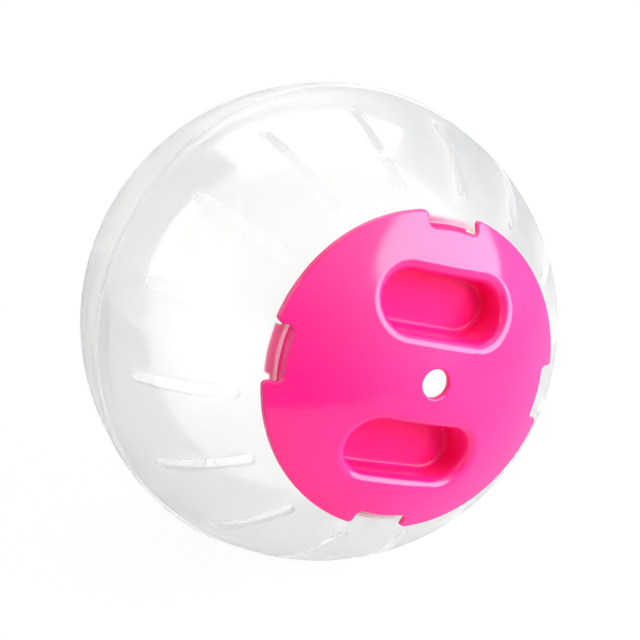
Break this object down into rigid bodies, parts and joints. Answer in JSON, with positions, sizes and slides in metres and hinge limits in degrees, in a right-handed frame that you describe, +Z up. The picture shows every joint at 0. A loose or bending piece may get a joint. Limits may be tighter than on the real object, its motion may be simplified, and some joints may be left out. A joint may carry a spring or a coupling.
{
  "type": "hamster ball",
  "caption": "Clear vented exercise ball for a small pet, in half shells joined at a rimmed seam, with a domed twist-lock lid that has finger wells and a centre hole.",
  "frame": {"origin": "centre of the ball, on the plane of the seam between the half shells", "axes": "+Z up, -Y along the ball's axis out through the middle of the lid, +X to the right as seen from the lid"},
  "size_m": [0.1182, 0.1162, 0.1182],
  "materials": {
    "clear_shell": "milky clear moulded polypropylene",
    "pink_lid": "glossy moulded hot pink"
  },
  "bodies": {
    "front_half": {"front_half": "clear_shell"},
    "rear_half": {"rear_half": "clear_shell"},
    "lid": {"lid": "pink_lid"}
  },
  "joints": [
    {"name": "lid_twist", "type": "hinge", "parent": "front_half", "child": "lid", "pos_m": [0, -0.045, 0], "axis": [0, -1, 0], "range_deg": [0, 30]},
    {"name": "rear_half_pull", "type": "slide", "parent": "front_half", "child": "rear_half", "axis": [0, 1, 0], "range_m": [0, 0.02]}
  ]
}
